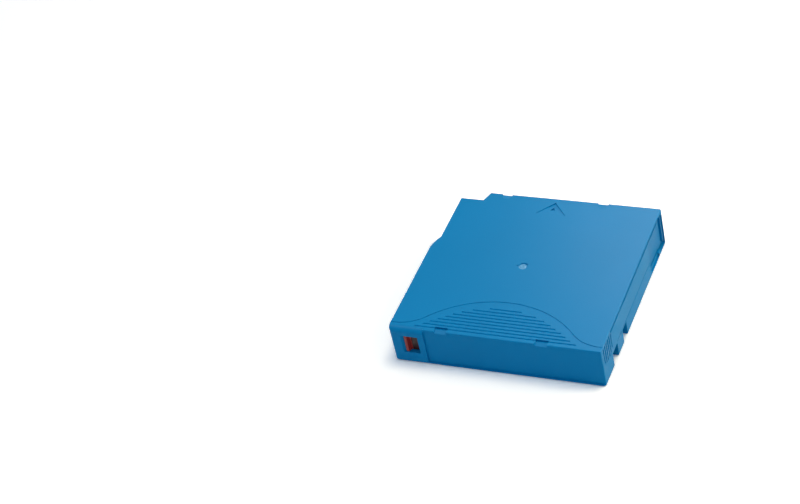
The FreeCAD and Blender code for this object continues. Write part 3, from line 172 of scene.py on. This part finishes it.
reelLook = dict(plasticLook, deep=(0.66, 0.67, 0.68), light=(0.72, 0.73, 0.74),
                driftScale=30, glossScale=90, roughness=(0.34, 0.44), grainScale=2600,
                grainHeight=0.000008)
brakeLook = dict(reelLook, deep=(0.76, 0.75, 0.71), light=(0.82, 0.81, 0.77))
releaseLook = dict(reelLook, deep=(0.66, 0.62, 0.50), light=(0.73, 0.69, 0.57))
clipLook = dict(reelLook, deep=(0.018, 0.018, 0.019), light=(0.030, 0.030, 0.031))
boardLook = dict(reelLook, deep=(0.012, 0.09, 0.035), light=(0.018, 0.12, 0.05))
chipLook = dict(reelLook, deep=(0.010, 0.010, 0.011), light=(0.018, 0.018, 0.018))


def steel(name, look):
    # bright metal with fine drawn or turned lines
    mat, tree, shader = newMaterial(name)
    vector = place(tree, look["stretch"])
    lines = noise(tree, vector, look["lineScale"], *look["lines"])
    tint(tree, shader, lines, look)
    gloss(tree, shader, lines, look)
    bump(tree, shader, lines, look["lineHeight"])
    shader.inputs["Metallic"].default_value = 1.0
    return mat


springLook = {"deep": (0.42, 0.42, 0.43), "light": (0.62, 0.62, 0.62), "stops": (0.25, 0.75),
              "stretch": (1, 1, 1), "lineScale": 2500, "lines": (4, 0.7),
              "roughness": (0.24, 0.36), "lineHeight": 0.000004}
screwLook = dict(springLook, deep=(0.46, 0.46, 0.44), light=(0.60, 0.60, 0.58),
                 stretch=(1, 1, 4), lineScale=1500)
pinLook = dict(springLook, stretch=(1, 1, 20), lineScale=400, roughness=(0.18, 0.30))


def woundTape(name, look):
    # edges of the wound film: fine rings round the reel's axis
    mat, tree, shader = newMaterial(name)
    vector = place(tree, location=(-look["centre"][0], -look["centre"][1], 0))
    split = addNode(tree, "ShaderNodeSeparateXYZ")
    flat = addNode(tree, "ShaderNodeCombineXYZ")
    reach = addNode(tree, "ShaderNodeVectorMath", {"operation": "LENGTH"})
    rings = addNode(tree, "ShaderNodeTexNoise", {"noise_dimensions": "1D"})
    rings.inputs["Scale"].default_value = look["ringScale"]
    rings.inputs["Detail"].default_value = look["ringDetail"]
    tree.links.new(vector, split.inputs["Vector"])
    tree.links.new(split.outputs["X"], flat.inputs["X"])
    tree.links.new(split.outputs["Y"], flat.inputs["Y"])
    tree.links.new(flat.outputs["Vector"], reach.inputs[0])
    tree.links.new(reach.outputs["Value"], rings.inputs["W"])
    tint(tree, shader, rings.outputs["Fac"], look)
    gloss(tree, shader, rings.outputs["Fac"], look)
    bump(tree, shader, rings.outputs["Fac"], look["ringHeight"])
    return mat


tapeLook = {"deep": (0.016, 0.013, 0.011), "light": (0.040, 0.034, 0.030),
            "stops": (0.3, 0.7), "centre": (-0.0016, 0.0005), "ringScale": 3000,
            "ringDetail": 4, "roughness": (0.22, 0.34), "ringHeight": 0.000006}
leaderLook = dict(tapeLook, deep=(0.020, 0.018, 0.017), light=(0.034, 0.031, 0.029),
                  ringScale=400)

finishes = {
    "top_shell": gatePaintedHighlight(mouldedPlastic("casePlasticUpperPaintedHighlight", caseLook), gateHighlightLook),
    "bottom_shell": mouldedPlastic("casePlastic", caseLook),
    "door": mouldedPlastic("doorPlastic", doorLook),
    "write_protect_tab": mouldedPlastic("tabPlastic", tabLook),
    "reel_hub": mouldedPlastic("reelPlastic", reelLook),
    "brake_button": mouldedPlastic("brakeAcetal", brakeLook),
    "brake_release": mouldedPlastic("releaseAcetal", releaseLook),
    "leader_pin_clip": mouldedPlastic("clipAcetal", clipLook),
    "memory_board": mouldedPlastic("boardLaminate", boardLook),
    "memory_chip": mouldedPlastic("chipResin", chipLook),
    "door_spring": steel("springWire", springLook),
    "case_screw_1": steel("screwSteel", screwLook),
    "leader_pin": steel("turnedSteel", pinLook),
    "tape_pack": woundTape("tapeEdges", tapeLook),
    "leader_tape": woundTape("leaderFilm", leaderLook),
}
sameAs = {"reel_upper_flange": "reel_hub",
          "brake_spring": "door_spring", "pin_spring_lower": "door_spring",
          "pin_spring_upper": "door_spring", "clutch_plate": "leader_pin",
          "case_screw_2": "case_screw_1", "case_screw_3": "case_screw_1",
          "case_screw_4": "case_screw_1"}
for name, node in nodes.items():
    finish = finishes[sameAs.get(name, name)]
    node.data.materials.clear()
    node.data.materials.append(finish)
print("materials on", len(nodes), "nodes")


# new pieces

def newPiece(name, shape, finish, body):
    mesh = bpy.data.meshes.new(name)
    shape.to_mesh(mesh)
    shape.free()
    piece = bpy.data.objects.new(name, mesh)
    scene.collection.objects.link(piece)
    mesh.materials.append(finish)
    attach(piece, body)
    return piece


# the tab's slide runs on behind its window and shuts off the view into the case; its near-black
# red is painted shade
slideLook = {"from": (-0.0434, -0.0483, 0.0054), "to": (-0.0380, -0.0471, 0.0176),
             "bevel": 0.0003, "bevelSteps": 3, "edgeAngle": 1.2, "inset": 0.0018, "sunk": 0.0003}


def makeTabSlide():
    low, high = Vector(slideLook["from"]), Vector(slideLook["to"])
    shape = bmesh.new()
    bmesh.ops.create_cube(shape, size=1)
    bmesh.ops.scale(shape, vec=high - low, verts=shape.verts)
    bmesh.ops.translate(shape, vec=(low + high) / 2, verts=shape.verts)
    outer = min(shape.faces, key=lambda face: face.normal.y)
    bmesh.ops.inset_region(shape, faces=[outer], thickness=slideLook["inset"],
                           depth=-slideLook["sunk"], use_even_offset=True)
    rim = [edge for edge in shape.edges
           if edge.is_convex and edge.calc_face_angle() > slideLook["edgeAngle"]]
    bmesh.ops.bevel(shape, geom=rim, offset=slideLook["bevel"], profile=0.5,
                    segments=slideLook["bevelSteps"], affect="EDGES", material=-1)
    finish = mouldedPlastic("tabSlidePaintedShade", tabShadedLook)
    newPiece("tabSlide", shape, finish, "write_protect")


makeTabSlide()
print("tab slide")


# compression springs: open turns between closed turns at each end
coilLook = {"wireSides": 14, "closedTurns": 1, "closedPitch": 1.02}  # pitch in wires
brakeSpringLook = dict(coilLook, foot=(-0.0016, 0.0005, 0.0085), tilt=0, radius=0.0068,
                       wire=0.0007, length=0.0111, openTurns=3, stepsPerTurn=48,
                       joint="brake_lift", axis=(0, 0, 1), anchor=(-0.0016, 0.0005, 0.0196),
                       keep=0.80)
doorSpringLook = dict(coilLook, foot=(0.049875, -0.0259, 0.0140), tilt=-90, radius=0.0013,
                      wire=0.00035, length=0.0498, openTurns=14, stepsPerTurn=24,
                      joint="door_slide", axis=(0, 1, 0), anchor=(0.049875, -0.0260, 0.0140),
                      keep=0.5625)


def makeSpring(name, replaced, look):
    shape = bmesh.new()
    stand = (Matrix.Translation((look["radius"], 0, look["wire"] / 2))
             @ Matrix.Rotation(radians(90), 4, "X"))
    bmesh.ops.create_circle(shape, segments=look["wireSides"], radius=look["wire"] / 2,
                            matrix=stand)
    closedRise = look["wire"] * look["closedPitch"]
    ends = look["wire"] + 2 * look["closedTurns"] * closedRise
    openRise = (look["length"] - ends) / look["openTurns"]
    closed = (look["closedTurns"], closedRise)
    section = shape.edges[:]
    for turns, rise in (closed, (look["openTurns"], openRise), closed):
        spun = bmesh.ops.spin(shape, geom=section, cent=(0, 0, 0), axis=(0, 0, 1),
                              dvec=(0, 0, rise / look["stepsPerTurn"]),
                              angle=radians(360 * turns), steps=look["stepsPerTurn"] * turns,
                              use_merge=False, use_duplicate=False)
        section = [part for part in spun["geom_last"] if isinstance(part, bmesh.types.BMEdge)]
    bmesh.ops.holes_fill(shape, edges=shape.edges, sides=look["wireSides"])
    bmesh.ops.recalc_face_normals(shape, faces=shape.faces)
    for face in shape.faces:
        face.smooth = len(face.verts) == 4
    bmesh.ops.transform(shape, verts=shape.verts, matrix=Matrix.Translation(look["foot"])
                        @ Matrix.Rotation(radians(look["tilt"]), 4, "X"))
    spring = newPiece(name, shape, finishes["door_spring"], "case")
    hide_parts(replaced)
    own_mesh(spring)


makeSpring("brakeSpring", "brake_spring", brakeSpringLook)
makeSpring("doorSpring", "door_spring", doorSpringLook)
print("springs")


# floor, light and camera

floorLook = {"size": 3.0, "level": -0.00005, "tone": (0.78, 0.78, 0.78),
             "seen": (1.42, 1.33, 1.21)}
skyLook = {"strength": 0.52, "tint": (0.80, 0.94, 1.16)}
# the cards show only in what is glossy
lampLooks = {
    "overhead": {"at": (0.12, 0.12, 0.9), "size": 0.4, "power": 3.2, "tint": (1.0, 0.97, 0.86)},
    "backRight": {"at": (0.65, 0.35, 0.35), "size": 0.6, "power": 2.9, "tint": (1.0, 0.90, 0.62)},
    "sheenCard": {"at": (-0.01, 0.222, 0.213), "size": 0.12, "power": 0.8, "tint": (1, 1, 1),
                  "onlyGloss": True},
    "rampCard": {"at": (-0.39, -0.19, 0.9), "size": 0.4, "power": 5.0, "tint": (1, 1, 1),
                 "onlyGloss": True},
    "edgeCard": {"at": (0.65, 0.35, 0.35), "size": 0.3, "power": 30.0, "tint": (1, 1, 1),
                 "onlyGloss": True},
}
cameraLook = {"azimuth": 30.152, "elevation": 39.553, "roll": -14.051, "distance": 1.001282,
              "across": 0.062422, "up": -0.015273, "lens": 93.4485, "sensor": 36,
              "near": 0.01, "far": 20}


def backgroundRays(tree):
    # 1 for rays from the camera or from something glossy or clear, 0 for soft light
    path = addNode(tree, "ShaderNodeLightPath")
    sharp = addNode(tree, "ShaderNodeMath", {"operation": "MAXIMUM"})
    either = addNode(tree, "ShaderNodeMath", {"operation": "MAXIMUM"})
    tree.links.new(path.outputs["Is Glossy Ray"], sharp.inputs[0])
    tree.links.new(path.outputs["Is Transmission Ray"], sharp.inputs[1])
    tree.links.new(path.outputs["Is Camera Ray"], either.inputs[0])
    tree.links.new(sharp.outputs["Value"], either.inputs[1])
    return either.outputs["Value"]


def makeFloor():
    mesh = bpy.data.meshes.new("floor")
    floor = bpy.data.objects.new("floor", mesh)
    scene.collection.objects.link(floor)
    floor.location.z = floorLook["level"]
    shape = bmesh.new()
    bmesh.ops.create_grid(shape, x_segments=1, y_segments=1, size=floorLook["size"])
    shape.to_mesh(mesh)
    shape.free()
    mat, tree, shader = newMaterial("paleFloor")
    tone = addNode(tree, "ShaderNodeMix", {"data_type": "RGBA"})
    tone.inputs["A"].default_value = (*floorLook["tone"], 1)
    tone.inputs["B"].default_value = (*floorLook["seen"], 1)
    diffuse = addNode(tree, "ShaderNodeBsdfDiffuse")
    tree.nodes.remove(shader)
    tree.links.new(backgroundRays(tree), tone.inputs["Factor"])
    tree.links.new(tone.outputs["Result"], diffuse.inputs["Color"])
    tree.links.new(diffuse.outputs["BSDF"], tree.nodes["Material Output"].inputs["Surface"])
    mesh.materials.append(mat)


def makeLamp(name, look):
    data = bpy.data.lights.new(name, "AREA")
    data.shape = "DISK"
    data.size = look["size"]
    data.energy = look["power"]
    data.color = look["tint"]
    lamp = bpy.data.objects.new(name, data)
    scene.collection.objects.link(lamp)
    lamp.location = look["at"]
    lamp.rotation_euler = (-Vector(look["at"])).to_track_quat("-Z", "Y").to_euler()
    lamp.visible_camera = False
    lamp.visible_diffuse = not look.get("onlyGloss", False)


def makeSky():
    world = bpy.data.worlds.new("paleSky")
    world.use_nodes = True
    scene.world = world
    tree = world.node_tree
    level = addNode(tree, "ShaderNodeMapRange")
    level.inputs["To Min"].default_value = skyLook["strength"]
    level.inputs["To Max"].default_value = 1.0
    colour = addNode(tree, "ShaderNodeMix", {"data_type": "RGBA"})
    colour.inputs["A"].default_value = (*skyLook["tint"], 1)
    colour.inputs["B"].default_value = (1, 1, 1, 1)
    back = tree.nodes["Background"]
    shown = backgroundRays(tree)
    tree.links.new(shown, level.inputs["Value"])
    tree.links.new(shown, colour.inputs["Factor"])
    tree.links.new(colour.outputs["Result"], back.inputs["Color"])
    tree.links.new(level.outputs["Result"], back.inputs["Strength"])


def makeCamera():
    data = bpy.data.cameras.new("camera")
    data.sensor_width = cameraLook["sensor"]
    data.lens = cameraLook["lens"]
    data.clip_start, data.clip_end = cameraLook["near"], cameraLook["far"]
    camera = bpy.data.objects.new("camera", data)
    scene.collection.objects.link(camera)
    turn = (Matrix.Rotation(radians(cameraLook["azimuth"]), 4, "Z")
            @ Matrix.Rotation(radians(90 - cameraLook["elevation"]), 4, "X")
            @ Matrix.Rotation(radians(cameraLook["roll"]), 4, "Z"))
    low, high = solidBounds
    aim = Vector((0, 0, (low.z + high.z) / 2))
    shift = Vector((-cameraLook["across"], -cameraLook["up"], cameraLook["distance"]))
    camera.matrix_world = Matrix.Translation(aim + turn.to_3x3() @ shift) @ turn
    scene.camera = camera


makeFloor()
for lampName, lampLook in lampLooks.items():
    makeLamp(lampName, lampLook)
makeSky()
makeCamera()
print("floor, lights and camera")
